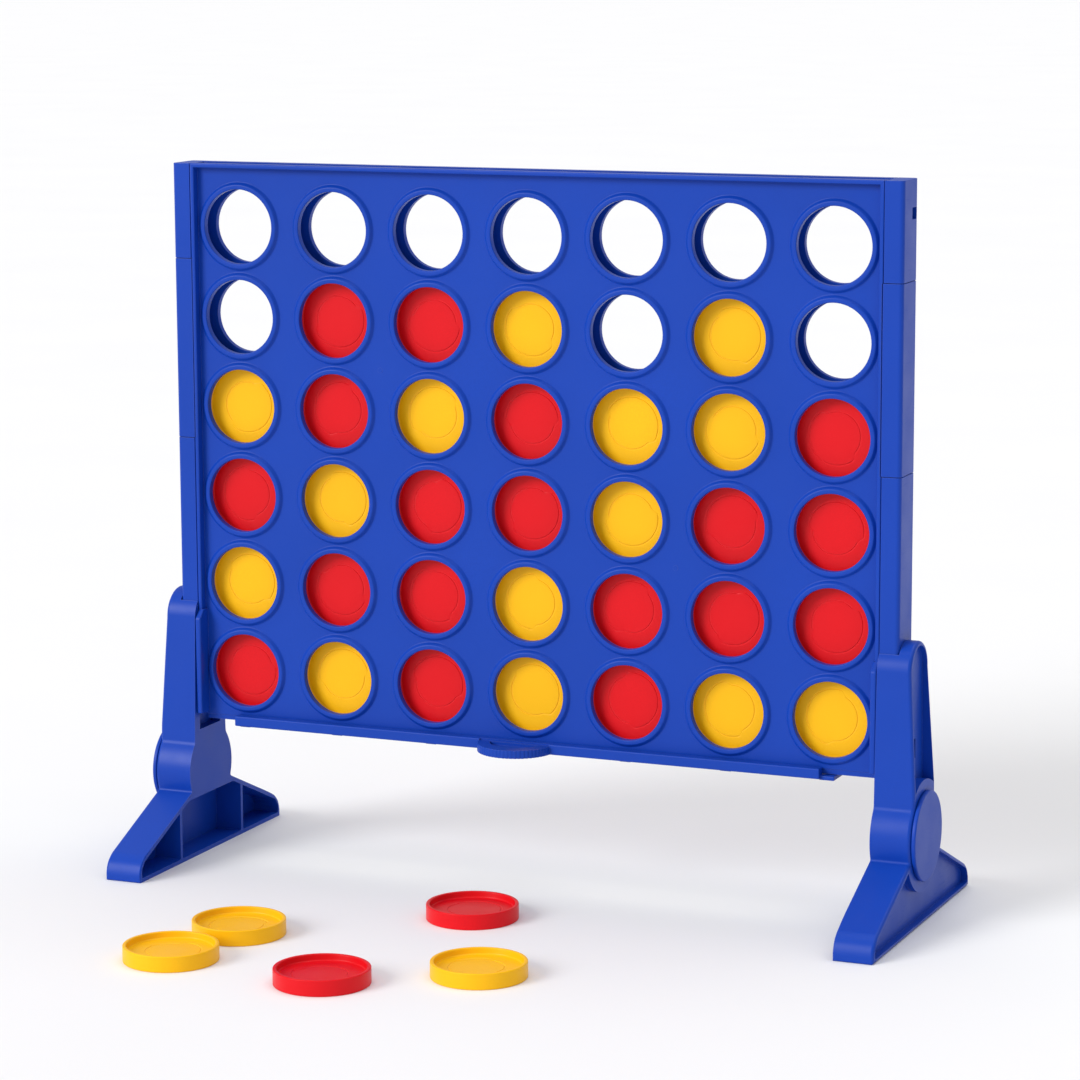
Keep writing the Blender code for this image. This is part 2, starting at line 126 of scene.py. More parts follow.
HOLLOW_TOP_Z = 44 * MM
RIB_Y = 47.5 * MM
RIB_HALF = 1.5 * MM
SOCKET_Z = 108.7 * MM
SOCKET_HALF_DEPTH = 15.7 * MM
POST_OUTER_X = POST_HIGH.x
POCKET_X = 269 * MM
POCKET_Z = 94 * MM
LEG_SLOT_Y = (-5 * MM, 4.5 * MM)
LEG_SLOT_Z = (115 * MM, 129 * MM)
SHORTEST_EDGE = 0.3 * MM

# Slider
BAR_X = (-231.8 * MM, 219.6 * MM)
BAR_FRONT = 17 * MM
BAR_BACK = 9.3 * MM
BAR_Z = (99.1 * MM, 106.5 * MM)
FINGER_BOTTOM_Z = 98.1 * MM
FINGER_TOP_Z = 107.4 * MM
FINGER_HALF_WIDTH = 4.5 * MM
FINGER_HALF_DEPTH = 5.5 * MM
FINGER_ROOT = 14 * MM
FINGER_PLATE_TOP_Z = 101.2 * MM
FINGER_ROUND = 0.8 * MM
GRIP_PLACE = (-8.5 * MM, -12.4 * MM)
GRIP_RADIUS = 28 * MM
GRIP_TOP_Z = 105.1 * MM
GRIP_POCKET_RADIUS = 19 * MM
GRIP_POCKET_DEPTH = 2.2 * MM


class BoardSettings(bpy.types.PropertyGroup):
    """Sizes of the moulded detail on the board, legs and slider."""

    bead_height: bpy.props.FloatProperty(
        name="Bead height",
        description="How far the bead round each hole stands out of the sheet",
        default=2.4 * MM,
        unit="LENGTH",
    )
    bead_width: bpy.props.FloatProperty(
        name="Bead width",
        description="Width of the bead round each hole",
        default=5.4 * MM,
        unit="LENGTH",
    )
    border_round: bpy.props.FloatProperty(
        name="Border rounding",
        description="Radius on the edges of the raised border",
        default=0.9 * MM,
        unit="LENGTH",
    )
    post_round: bpy.props.FloatProperty(
        name="Post rounding",
        description="Radius on the outer corners of the posts",
        default=3 * MM,
        unit="LENGTH",
    )
    leg_round: bpy.props.FloatProperty(
        name="Leg rounding",
        description="Radius on the outer outline of the legs",
        default=2.4 * MM,
        unit="LENGTH",
    )
    toe_round: bpy.props.FloatProperty(
        name="Toe rounding",
        description="Radius on the inner outline and soles of the toes",
        default=1.2 * MM,
        unit="LENGTH",
    )
    cut_round: bpy.props.FloatProperty(
        name="Fine rounding",
        description="Radius on the small edges that a mould leaves",
        default=0.4 * MM,
        unit="LENGTH",
    )
    grip_ribs: bpy.props.IntProperty(
        name="Grip ribs",
        description="Number of finger ribs round the full circle of the grip's front",
        default=60,
    )


class DiscSettings(bpy.types.PropertyGroup):
    """Sizes of the detail on a disc."""

    rim_width: bpy.props.FloatProperty(
        name="Rim width",
        description="Thickness of a disc's rim",
        default=2.6 * MM,
        unit="LENGTH",
    )
    recess: bpy.props.FloatProperty(
        name="Recess",
        description="Depth of a disc's face below its rim",
        default=4.5 * MM,
        unit="LENGTH",
    )
    ring_radius: bpy.props.FloatProperty(
        name="Ring radius",
        description="Radius of the wider half of the ring line in the face",
        default=20.2 * MM,
        unit="LENGTH",
    )
    ring_step: bpy.props.FloatProperty(
        name="Ring step",
        description="How much smaller the other half of the ring line is",
        default=3.2 * MM,
        unit="LENGTH",
    )
    sides: bpy.props.IntProperty(
        name="Sides", description="Steps round a disc", default=72
    )


class FinishSettings(bpy.types.PropertyGroup):
    """Colours and surface of the moulded plastics."""

    blue: bpy.props.FloatVectorProperty(
        name="Blue",
        description="Colour of the board, legs and slider",
        subtype="COLOR",
        size=3,
        min=0,
        max=1,
        default=(0.004, 0.048, 0.39),
    )
    red: bpy.props.FloatVectorProperty(
        name="Red",
        description="Colour of the red discs",
        subtype="COLOR",
        size=3,
        min=0,
        max=1,
        default=(0.72, 0.003, 0.009),
    )
    yellow: bpy.props.FloatVectorProperty(
        name="Yellow",
        description="Colour of the yellow discs",
        subtype="COLOR",
        size=3,
        min=0,
        max=1,
        default=(0.95, 0.5, 0.004),
    )
    roughness: bpy.props.FloatProperty(
        name="Roughness",
        description="Mean roughness of the satin surface",
        default=0.38,
        min=0,
        max=1,
    )
    grain_depth: bpy.props.FloatProperty(
        name="Grain depth",
        description="Depth of the fine grain",
        default=0.012 * MM,
        unit="LENGTH",
    )
    ripple_depth: bpy.props.FloatProperty(
        name="Ripple depth",
        description="Depth of the slow unevenness left by cooling",
        default=0.12 * MM,
        unit="LENGTH",
    )


class StageSettings(bpy.types.PropertyGroup):
    """Floor, light and camera."""

    floor: bpy.props.FloatVectorProperty(
        name="Floor",
        description="Colour of the floor",
        subtype="COLOR",
        size=3,
        min=0,
        max=1,
        default=(0.86, 0.86, 0.87),
    )
    ambient: bpy.props.FloatProperty(
        name="Ambient", description="Strength of the even white surroundings", default=0.55
    )
    key: bpy.props.FloatProperty(
        name="Key light", description="Strength of the soft light from the front left", default=2.1
    )
    top: bpy.props.FloatProperty(
        name="Top light", description="Strength of the soft light from above", default=1.15
    )
    camera_place: bpy.props.FloatVectorProperty(
        name="Camera place",
        description="Where the camera stands",
        subtype="TRANSLATION",
        size=3,
        default=(1.0016, -2.23186, 0.68096),
    )
    heading: bpy.props.FloatProperty(
        name="Heading",
        description="Turn of the camera to the left of straight ahead",
        subtype="ANGLE",
        default=math.radians(23.114),
    )
    tilt: bpy.props.FloatProperty(
        name="Tilt",
        description="How far the camera looks down",
        subtype="ANGLE",
        default=math.radians(9.642),
    )
    roll: bpy.props.FloatProperty(
        name="Roll",
        description="Lean of the camera",
        subtype="ANGLE",
        default=math.radians(-0.248),
    )
    lens: bpy.props.FloatProperty(
        name="Lens", description="Focal length in millimetres on a 36 mm sensor", default=121.583
    )


# ---------------------------------------------------------------- shaping


def new_face(shape, points):
    return shape.faces.new([shape.verts.new(point) for point in points])


def push(shape, face, vector):
    """Makes a solid by pushing one face along a vector."""
    grown = bmesh.ops.extrude_face_region(shape, geom=[face], use_keep_orig=True)
    moved = [item for item in grown["geom"] if isinstance(item, bmesh.types.BMVert)]
    bmesh.ops.translate(shape, verts=moved, vec=vector)
    bmesh.ops.recalc_face_normals(shape, faces=shape.faces)


def block(low, high):
    """A block between two corners."""
    low, high = Vector(low), Vector(high)
    place = Matrix.Translation((low + high) / 2) @ Matrix.Diagonal((*(high - low), 1))
    shape = bmesh.new()
    bmesh.ops.create_cube(shape, size=1, matrix=place)
    return shape


def drum(place, radius, depth, sides=64):
    """A closed cylinder along its own Z axis."""
    shape = bmesh.new()
    bmesh.ops.create_cone(
        shape, cap_ends=True, segments=sides, radius1=radius, radius2=radius, depth=depth, matrix=place
    )
    return shape


def sharp(shape, degrees, keep=None):
    """The edges that turn by more than an angle, and that keep accepts."""
    limit = math.radians(degrees)
    shape.normal_update()
    return [
        edge
        for edge in shape.edges
        if len(edge.link_faces) == 2
        and edge.calc_face_angle(0) > limit
        and (keep is None or keep(edge))
    ]


def round_off(shape, edges, radius, segments=3, clamp=True):
    bmesh.ops.bevel(
        shape,
        geom=edges,
        offset=radius,
        offset_type="OFFSET",
        affect="EDGES",
        segments=segments,
        profile=0.5,
        clamp_overlap=clamp,
        material=-1,
    )


def middle(edge):
    return (edge.verts[0].co + edge.verts[1].co) / 2


def along(edge, axis):
    """Whether an edge runs along an axis."""
    run = (edge.verts[1].co - edge.verts[0].co).normalized()
    return abs(run[axis]) > 0.999


def turned(outline, sides):
    """A shape turned about the Z axis from an outline of (radius, height)."""
    shape = bmesh.new()
    points = [shape.verts.new((radius, 0, height)) for radius, height in outline]
    edges = [shape.edges.new(pair) for pair in zip(points, points[1:])]
    bmesh.ops.spin(
        shape,
        geom=points + edges,
        cent=(0, 0, 0),
        axis=(0, 0, 1),
        angle=math.tau,
        steps=sides,
        use_merge=True,
    )
    bmesh.ops.remove_doubles(shape, verts=shape.verts, dist=TINY)
    bmesh.ops.recalc_face_normals(shape, faces=shape.faces)
    return shape


class Pen:
    """Draws an outline in the plane X = 0 from points given as (y, z)."""

    def __init__(self, shape, start):
        self.shape = shape
        self.first = self.tip = shape.verts.new((0, *start))

    def line(self, *points):
        for y, z in points:
            made = bmesh.ops.extrude_vert_indiv(self.shape, verts=[self.tip])
            self.tip = made["verts"][0]
            self.tip.co = (0, y, z)

    def arc(self, centre, degrees, steps):
        """Turns about a centre, from +Y towards +Z where the angle is positive."""
        made = bmesh.ops.spin(
            self.shape,
            geom=[self.tip],
            cent=(0, *centre),
            axis=(1, 0, 0),
            angle=math.radians(degrees),
            steps=steps,
        )
        self.tip = next(v for v in made["geom_last"] if isinstance(v, bmesh.types.BMVert))

    def face(self):
        self.shape.edges.new((self.tip, self.first))
        bmesh.ops.contextual_create(self.shape, geom=self.shape.edges[:])
        self.shape.faces.ensure_lookup_table()
        return self.shape.faces[0]


def mesh_of(shape, name="shape"):
    mesh = bpy.data.meshes.new(name)
    shape.to_mesh(mesh)
    shape.free()
    return mesh


def carve(base, tools, operation):
    """Adds the tools to the base, or cuts them from it. All are bmeshes and are used up."""
    target = bpy.data.objects.new("carved", mesh_of(base))
    bpy.context.scene.collection.objects.link(target)
    helpers = []
    for tool in tools:
        helper = bpy.data.objects.new("tool", mesh_of(tool))
        bpy.context.scene.collection.objects.link(helper)
        step = target.modifiers.new("step", "BOOLEAN")
        step.operation = operation
        step.solver = "EXACT"
        step.object = helper
        helpers.append(helper)
    graph = bpy.context.evaluated_depsgraph_get()
    carved = bmesh.new()
    carved.from_mesh(target.evaluated_get(graph).to_mesh())
    for obj in [target, *helpers]:
        mesh = obj.data
        bpy.data.objects.remove(obj)
        bpy.data.meshes.remove(mesh)
    return carved


def tidy(shape, degrees=0.5):
    """Merges the flat faces that carving leaves."""
    bmesh.ops.remove_doubles(shape, verts=shape.verts, dist=TINY)
    bmesh.ops.dissolve_limit(
        shape,
        angle_limit=math.radians(degrees),
        verts=shape.verts,
        edges=shape.edges,
        delimit={"NORMAL"},
    )


def mirrored(shape):
    """A copy on the other side of X = 0."""
    other = shape.copy()
    bmesh.ops.scale(other, vec=(-1, 1, 1), verts=other.verts)
    bmesh.ops.reverse_faces(other, faces=other.faces)
    return other


def half_turn(shape):
    """A copy turned half a turn about the Z axis."""
    other = shape.copy()
    bmesh.ops.rotate(other, cent=(0, 0, 0), matrix=Matrix.Rotation(math.pi, 3, "Z"), verts=other.verts)
    return other


def add_piece(name, shape, slot, body, nodes, smooth=38):
    """An object of a finished shape, which rides on a body and stands for CAD nodes."""
    mesh = mesh_of(shape, name)
    mesh.materials.append(finish_of(slot))
    mesh.shade_smooth()
    mesh.set_sharp_from_angle(angle=math.radians(smooth))
    obj = bpy.data.objects.new(name, mesh)
    bpy.context.scene.collection.objects.link(obj)
    weighted = obj.modifiers.new("Weighted normals", "WEIGHTED_NORMAL")
    weighted.keep_sharp = True
    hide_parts(*nodes)
    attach(obj, body)
    return obj


def to_board(shape):
    """Moves a shape from the board's middle plane to its place."""
    bmesh.ops.translate(shape, verts=shape.verts, vec=(0, BOARD_Y, 0))
    return shape


# ---------------------------------------------------------------- finishes


class Nodes:
    """Adds shader nodes to a material."""

    def __init__(self, name):
        self.material = bpy.data.materials.new(name)
        self.material.use_nodes = True
        self.tree = self.material.node_tree
        self.shader = self.tree.nodes["Principled BSDF"]

    def add(self, kind, **values):
        node = self.tree.nodes.new(kind)
        for key, value in values.items():
            if key in node.inputs:
                node.inputs[key].default_value = value
            else:
                setattr(node, key, value)
        return node

    def link(self, source, target):
        self.tree.links.new(source, target)

    def noise(self, vector, scale, detail=2.0, rough=0.5):
        node = self.add("ShaderNodeTexNoise")
        node.inputs["Scale"].default_value = scale
        node.inputs["Detail"].default_value = detail
        node.inputs["Roughness"].default_value = rough
        self.link(vector, node.inputs["Vector"])
        return node.outputs["Fac"]

    def remap(self, value, low, high, from_low=0.3, from_high=0.7):
        node = self.add("ShaderNodeMapRange")
        for key, number in zip(
            ("From Min", "From Max", "To Min", "To Max"), (from_low, from_high, low, high)
        ):
            node.inputs[key].default_value = number
        self.link(value, node.inputs["Value"])
        return node.outputs["Result"]

    def mix(self, factor, first, second):
        node = self.add("ShaderNodeMix", data_type="RGBA")
        for value, socket in ((factor, 0), (first, 6), (second, 7)):
            if isinstance(value, bpy.types.NodeSocket):
                self.link(value, node.inputs[socket])
            else:
                node.inputs[socket].default_value = value
        return node.outputs[2]

    def bump(self, height, depth, normal=None):
        node = self.add("ShaderNodeBump")
        node.inputs["Strength"].default_value = 1.0
        node.inputs["Distance"].default_value = depth
        self.link(height, node.inputs["Height"])
        if normal:
            self.link(normal, node.inputs["Normal"])
        return node.outputs["Normal"]


def shade_of(colour, factor):
    return (*[min(1.0, channel * factor) for channel in colour], 1.0)


def pale(colour, share):
    return (*[channel + (1 - channel) * share for channel in colour], 1.0)


def moulded_plastic(slot, colour, settings):
    """A satin moulded plastic: slow colour drift, fine grain, soft ripples, scuffs and a painted highlight on
    the edges.
    """
    nodes = Nodes(slot + "_moulded")
    place = nodes.add("ShaderNodeTexCoord").outputs["Object"]
    drift = nodes.remap(nodes.noise(place, 9.0, 3.0), 0.0, 1.0)
    base = nodes.mix(drift, shade_of(colour, 0.93), shade_of(colour, 1.06))
    specks = nodes.remap(nodes.noise(place, 900.0, 2.0), 0.0, 1.0, 0.35, 0.75)
    base = nodes.mix(specks, base, shade_of(colour, 0.97))
    # Painted highlight: the colour is paled along the rounded edges, standing in for the light that these
    # edges catch.
    edge = nodes.add("ShaderNodeBevel", samples=4)
    edge.inputs["Radius"].default_value = 0.7 * MM
    geometry = nodes.add("ShaderNodeNewGeometry")
    turn = nodes.add("ShaderNodeVectorMath", operation="DOT_PRODUCT")
    nodes.link(edge.outputs["Normal"], turn.inputs[0])
    nodes.link(geometry.outputs["Normal"], turn.inputs[1])
    painted_edge_highlight = nodes.remap(turn.outputs["Value"], 0.55, 0.0, 0.72, 0.97)
    base = nodes.mix(painted_edge_highlight, base, pale(colour, 0.1))
    nodes.link(base, nodes.shader.inputs["Base Color"])

    spread = nodes.add("ShaderNodeMapping")
    spread.inputs["Scale"].default_value = (1.0, 1.0, 14.0)
    spread.inputs["Rotation"].default_value = (0.3, 0.5, 0.9)
    nodes.link(place, spread.inputs["Vector"])
    scuffs = nodes.remap(nodes.noise(spread.outputs["Vector"], 60.0, 4.0, 0.6), 0.0, 0.1, 0.6, 0.75)
    haze = nodes.remap(
        nodes.noise(place, 34.0, 4.0), settings.roughness - 0.05, settings.roughness + 0.05
    )
    total = nodes.add("ShaderNodeMath", operation="ADD")
    nodes.link(haze, total.inputs[0])
    nodes.link(scuffs, total.inputs[1])
    nodes.link(total.outputs["Value"], nodes.shader.inputs["Roughness"])

    ripple = nodes.bump(nodes.noise(place, 28.0, 1.0), settings.ripple_depth)
    grain = nodes.bump(nodes.noise(place, 2600.0, 2.0), settings.grain_depth, ripple)
    nodes.link(grain, nodes.shader.inputs["Normal"])
    nodes.shader.inputs["IOR"].default_value = 1.49
    nodes.shader.inputs["Specular IOR Level"].default_value = 0.2
    return nodes.material


def finish_of(slot):
    """The finish of a material slot, made when it is first asked for."""
    made = bpy.data.materials.get(slot + "_moulded")
    if made:
        return made
    settings = bpy.context.scene.four_row_finish
    colour = getattr(settings, slot.removesuffix("_plastic"))
    return moulded_plastic(slot, tuple(colour), settings)


# ---------------------------------------------------------------- board


def column_x(column):
    return (column - (COLUMNS - 1) / 2) * COLUMN_PITCH


def row_z(row):
    return BOTTOM_ROW_Z + row * ROW_PITCH


def widen(shape, edges):
    """Extrudes a ring of edges and returns the new vertices and edges."""
    grown = bmesh.ops.extrude_edge_only(shape, edges=edges)["geom"]
    points = [item for item in grown if isinstance(item, bmesh.types.BMVert)]
    rim = [item for item in grown if isinstance(item, bmesh.types.BMEdge)]
    new = set(points)
    return points, [edge for edge in rim if edge.verts[0] in new and edge.verts[1] in new]


def ring_to(shape, edges, centre, radius, depth):
    """Extrudes a ring to another radius and depth."""
    points, rim = widen(shape, edges)
    for point in points:
        arm = Vector((point.co.x - centre[0], point.co.z - centre[1]))
        arm *= radius / arm.length
        point.co = (centre[0] + arm.x, -depth, centre[1] + arm.y)
    return rim


def ring_to_cell(shape, edges, centre, cell, depth):
    """Extrudes a ring out to the rectangle of its cell, given as low and high (x, z)."""
    points, _ = widen(shape, edges)
    (low_x, low_z), (high_x, high_z) = cell
    for point in points:
        arm = Vector((point.co.x - centre[0], point.co.z - centre[1]))
        arm /= max(abs(arm.x), abs(arm.y))
        reach_x = high_x - centre[0] if arm.x > 0 else centre[0] - low_x
        reach_z = high_z - centre[1] if arm.y > 0 else centre[1] - low_z
        point.co = (centre[0] + arm.x * reach_x, -depth, centre[1] + arm.y * reach_z)


def bead_outline(settings):
    """(radius, depth) of the bead round a hole, from the bore to the sheet."""
    height, width = settings.bead_height, settings.bead_width
    return tuple(
        (HOLE_RADIUS + across * width, SHEET_FRONT + up * height)
        for across, up in (
            (0, 0.72),
            (0.04, 0.9),
            (0.12, 1),
            (0.48, 1),
            (0.58, 0.93),
            (0.66, 0.78),
            (0.86, 0.22),
            (0.93, 0.06),
            (1.02, 0),
        )
    )


def cell_of(column, row):
    """Low and high (x, z) of the part of the sheet round a hole, reaching into the border."""
    inner_x = PANEL_HALF_WIDTH - BORDER_WIDTH + SHEET_LAP
    low_x = -inner_x if column == 0 else column_x(column) - COLUMN_PITCH / 2
    high_x = inner_x if column == COLUMNS - 1 else column_x(column) + COLUMN_PITCH / 2
    low_z = PANEL_BOTTOM_Z if row == 0 else row_z(row) - ROW_PITCH / 2
    high_z = PANEL_TOP_Z - BORDER_WIDTH + SHEET_LAP if row == ROWS - 1 else row_z(row) + ROW_PITCH / 2
    return (low_x, low_z), (high_x, high_z)


def pierced_sheet(settings):
    """The sheet with its 42 beaded holes, as a front and a back skin joined through the holes."""
    shape = bmesh.new()
    turn = Matrix.Rotation(math.pi / 2, 4, "X")
    for column in range(COLUMNS):
        for row in range(ROWS):
            centre = (column_x(column), row_z(row))
            place = Matrix.Translation((centre[0], -SHEET_BACK, centre[1])) @ turn
            made = bmesh.ops.create_circle(
                shape, cap_ends=False, segments=HOLE_SIDES, radius=HOLE_RADIUS, matrix=place
            )
            start = list({edge for vert in made["verts"] for edge in vert.link_edges})
            ring_to_cell(shape, start, centre, cell_of(column, row), SHEET_BACK)
            rim = start
            for radius, depth in bead_outline(settings):
                rim = ring_to(shape, rim, centre, radius, depth)
            ring_to_cell(shape, rim, centre, cell_of(column, row), SHEET_FRONT)
    bmesh.ops.remove_doubles(shape, verts=shape.verts, dist=TINY)
    return shape


def close_sheet(shape):
    """Joins the outlines of the front and back skins."""
    outline = [
        edge
        for edge in shape.edges
        if edge.is_boundary and all(abs(vert.co.y + SHEET_FRONT) < TINY for vert in edge.verts)
    ]
    points, _ = widen(shape, outline)
    for point in points:
        point.co.y = -SHEET_BACK
    bmesh.ops.remove_doubles(shape, verts=shape.verts, dist=TINY)
    bmesh.ops.recalc_face_normals(shape, faces=shape.faces)


def border_frame(settings):
    """The raised border along the sides and the top, flush with the middle length of each post."""
    inner_x = PANEL_HALF_WIDTH - BORDER_WIDTH
    right = [
        (inner_x, BORDER_BOTTOM_Z),
        (PANEL_HALF_WIDTH, BORDER_BOTTOM_Z),
        (PANEL_HALF_WIDTH, SEAM_LOW_Z),
        (PANEL_HALF_WIDTH, SEAM_HIGH_Z),
        (PANEL_HALF_WIDTH, PANEL_TOP_Z),
    ]
    left = [(-x, z) for x, z in reversed(right)]
    inside = [(-inner_x, PANEL_TOP_Z - BORDER_WIDTH), (inner_x, PANEL_TOP_Z - BORDER_WIDTH)]
    shape = bmesh.new()
    face = new_face(shape, [(x, -SHEET_BACK, z) for x, z in right + left + inside])
    push(shape, face, (0, SHEET_BACK - BORDER_FRONT, 0))
    bmesh.ops.recalc_face_normals(shape, faces=shape.faces)

    def on_front(edge):
        place = middle(edge)
        if abs(place.y + BORDER_FRONT) > TINY:
            return False
        return not (SEAM_LOW_Z < place.z < SEAM_HIGH_Z and abs(place.x) > PANEL_HALF_WIDTH - TINY)

    round_off(shape, sharp(shape, 60, on_front), settings.border_round)
    return shape


def side_strip(side):
    """The thicker strip of the side border beside a leg."""
    low_x, high_x = sorted((side * (PANEL_HALF_WIDTH - 0.02 * MM), side * (PANEL_HALF_WIDTH - STRIP_WIDTH)))
    shape = bmesh.new()
    outline = [
        (low_x, -SHEET_BACK - 1 * MM, BORDER_BOTTOM_Z),
        (low_x, -STRIP_FRONT, BORDER_BOTTOM_Z),
        (low_x, -STRIP_FRONT, STRIP_TOP_Z - STRIP_SLOPE),
        (low_x, -BORDER_FRONT, STRIP_TOP_Z),
        (low_x, -SHEET_BACK - 1 * MM, STRIP_TOP_Z),
    ]
    push(shape, new_face(shape, outline), (high_x - low_x, 0, 0))
    front = sharp(shape, 30, lambda edge: middle(edge).y < -BORDER_FRONT - 1 * MM)
    round_off(shape, front, 1.3 * MM)
    return shape


def gate_mark(x, z):
    """The low round mark where the plastic entered the mould."""
    place = Matrix.Translation((x, -SHEET_FRONT, z)) @ Matrix.Rotation(math.pi / 2, 4, "X")
    return drum(place, GATE_MARK_RADIUS, 2 * GATE_MARK_HEIGHT, 20)


def rounded_sheet(settings):
    """The pierced sheet with a small radius along its foot."""
    shape = pierced_sheet(settings)
    close_sheet(shape)
    foot = sharp(
        shape,
        60,
        lambda edge: abs(middle(edge).z - PANEL_BOTTOM_Z) < TINY and abs(middle(edge).y + SHEET_FRONT) < TINY,
    )
    round_off(shape, foot, 0.5 * MM, 2)
    return shape


class FOUR_ROW_OT_panels(bpy.types.Operator):
    """Moulds the pierced front and rear panels"""

    bl_idname = "four_row.panels"
    bl_label = "Panels"

    def execute(self, context):
        settings = context.scene.four_row_board
        frame_parts = [border_frame(settings), *[side_strip(side) for side in (-1, 1)]]
        plain = carve(rounded_sheet(settings), frame_parts, "UNION")
        rear = half_turn(plain)
        half = PANEL_HALF_WIDTH - BORDER_WIDTH - 0.1 * MM
        back = -SHEET_BACK - 0.1 * MM
        rail = [
            block((-half, -FOOT_FRONT, RAIL_Z[0]), (half, back, PANEL_BOTTOM_Z + 1 * MM)),
            block((RAIL_X[0], -RAIL_FRONT, RAIL_Z[0]), (RAIL_X[1], back, RAIL_Z[1])),
        ]
        front = carve(plain, rail, "UNION")
        front = carve(front, [gate_mark(*place) for place in GATE_MARKS], "UNION")
        add_piece("front_panel_moulding", to_board(front), "blue_plastic", BOARD, ["front_panel"])
        add_piece("rear_panel_moulding", to_board(rear), "blue_plastic", BOARD, ["rear_panel"])
        return {"FINISHED"}


class FOUR_ROW_OT_dividers(bpy.types.Operator):
    """Moulds the six dividers between the columns"""

    bl_idname = "four_row.dividers"
    bl_label = "Dividers"

    def execute(self, context):
        settings = context.scene.four_row_board
        for number in range(1, COLUMNS):
            node = f"column_divider_{number}"
            shape = block(*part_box(node))
            round_off(shape, shape.edges[:], settings.cut_round, 2)
            add_piece(f"divider_{number}", shape, "blue_plastic", BOARD, [node])
        return {"FINISHED"}


def post_length(part, settings):
    """One length of the right post, round its outer corners."""
    low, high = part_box(f"right_post_{part}")
    flush = part == "middle"
    shape = block((PANEL_HALF_WIDTH if flush else low.x, low.y, low.z), high)
    outer = [edge for edge in shape.edges if along(edge, 2) and middle(edge).x > high.x - TINY]
    round_off(shape, outer, settings.post_round, 5)

    def fine(edge):
        hidden = flush and middle(edge).x < low.x
        rounded = along(edge, 2) and middle(edge).x > low.x + 1 * MM
        return not hidden and not rounded

    round_off(shape, sharp(shape, 50, fine), settings.cut_round, 2)
    return shape


class FOUR_ROW_OT_posts(bpy.types.Operator):
    """Moulds the two end posts, three lengths each"""

    bl_idname = "four_row.posts"
    bl_label = "Posts"

    def execute(self, context):
        settings = context.scene.four_row_board
        for part in ("lower", "middle", "upper"):
            right = post_length(part, settings)
            left = mirrored(right)
            if part == "upper":
                slot = block(
                    (POST_OUTER_X - SNAP_DEPTH, BOARD_Y + SNAP_Y[0], SNAP_Z[0]),
                    (POST_OUTER_X + SNAP_DEPTH, BOARD_Y + SNAP_Y[1], SNAP_Z[1]),
                )
                right = carve(right, [slot], "DIFFERENCE")
            add_piece(f"right_post_{part}_moulding", right, "blue_plastic", BOARD, [f"right_post_{part}"])
            add_piece(f"left_post_{part}_moulding", left, "blue_plastic", BOARD, [f"left_post_{part}"])
        return {"FINISHED"}


# ---------------------------------------------------------------- slider


def finger(column):
    """One finger under the middle of a column, with the plate that ties it to the bar."""
    x = column_x(column)
    low_x, high_x = x - FINGER_HALF_WIDTH, x + FINGER_HALF_WIDTH
    root_x = min(low_x, BAR_X[1] - 1.5 * MM)
    upright = block((low_x, -FINGER_HALF_DEPTH, FINGER_BOTTOM_Z), (high_x, FINGER_HALF_DEPTH, FINGER_TOP_Z))
    plate = block((root_x, -FINGER_ROOT, FINGER_BOTTOM_Z), (high_x, 0, FINGER_PLATE_TOP_Z))
    for part in (upright, plate):
        round_off(part, part.edges[:], FINGER_ROUND, 2)
    return [upright, plate]


def grip(settings):
    """The half-moon grip: the front part of a ribbed drum with a shallow pocket in its top."""
    sides = settings.grip_ribs * 4
    height = GRIP_TOP_Z - BAR_Z[0]
    place = Matrix.Translation((*GRIP_PLACE, BAR_Z[0] + height / 2))
    shape = drum(place, GRIP_RADIUS, height, sides)
    for point in shape.verts:
        arm = Vector((point.co.x - GRIP_PLACE[0], point.co.y - GRIP_PLACE[1], 0))
        if round(math.atan2(arm.y, arm.x) / math.tau * sides) % 4 == 0:
            point.co -= arm.normalized() * 0.45 * MM
    round_off(shape, sharp(shape, 60), 0.5 * MM, 2)
    pocket_place = Matrix.Translation((*GRIP_PLACE, GRIP_TOP_Z))
    pocket = drum(pocket_place, GRIP_POCKET_RADIUS, 2 * GRIP_POCKET_DEPTH, 96)
    behind = block((-1, 2 * MM - BAR_FRONT, 0), (1, 1, 1))
    return carve(shape, [pocket, behind], "DIFFERENCE")


class FOUR_ROW_OT_slider(bpy.types.Operator):
    """Moulds the release slider with its fingers and ribbed grip"""

    bl_idname = "four_row.slider"
    bl_label = "Release slider"

    def execute(self, context):
        settings = context.scene.four_row_board
        bar = block((BAR_X[0], -BAR_FRONT, BAR_Z[0]), (BAR_X[1], -BAR_BACK, BAR_Z[1]))
        round_off(bar, bar.edges[:], 0.9 * MM)
        groove = block(
            (BAR_X[0] - 1 * MM, -RAIL_FRONT - 0.3 * MM, RAIL_Z[0] - 0.3 * MM),
            (BAR_X[1] - 1.2 * MM, 0, RAIL_Z[1] + 0.3 * MM),
        )
        notch_half = GRIP_RADIUS - 1 * MM
        notch = block(
            (GRIP_PLACE[0] - notch_half, -BAR_FRONT - 1 * MM, GRIP_TOP_Z),
            (GRIP_PLACE[0] + notch_half, 1.8 * MM - BAR_FRONT, BAR_Z[1] + 1 * MM),
        )
        bar = carve(bar, [groove, notch], "DIFFERENCE")
        parts = [grip(settings)] + [part for column in range(COLUMNS) for part in finger(column)]
        bar = carve(bar, parts, "UNION")
        bar = to_board(bar)
        add_piece("release_slider_moulding", bar, "blue_plastic", "release_slider", ["release_slider"])
        return {"FINISHED"}


# ---------------------------------------------------------------- legs


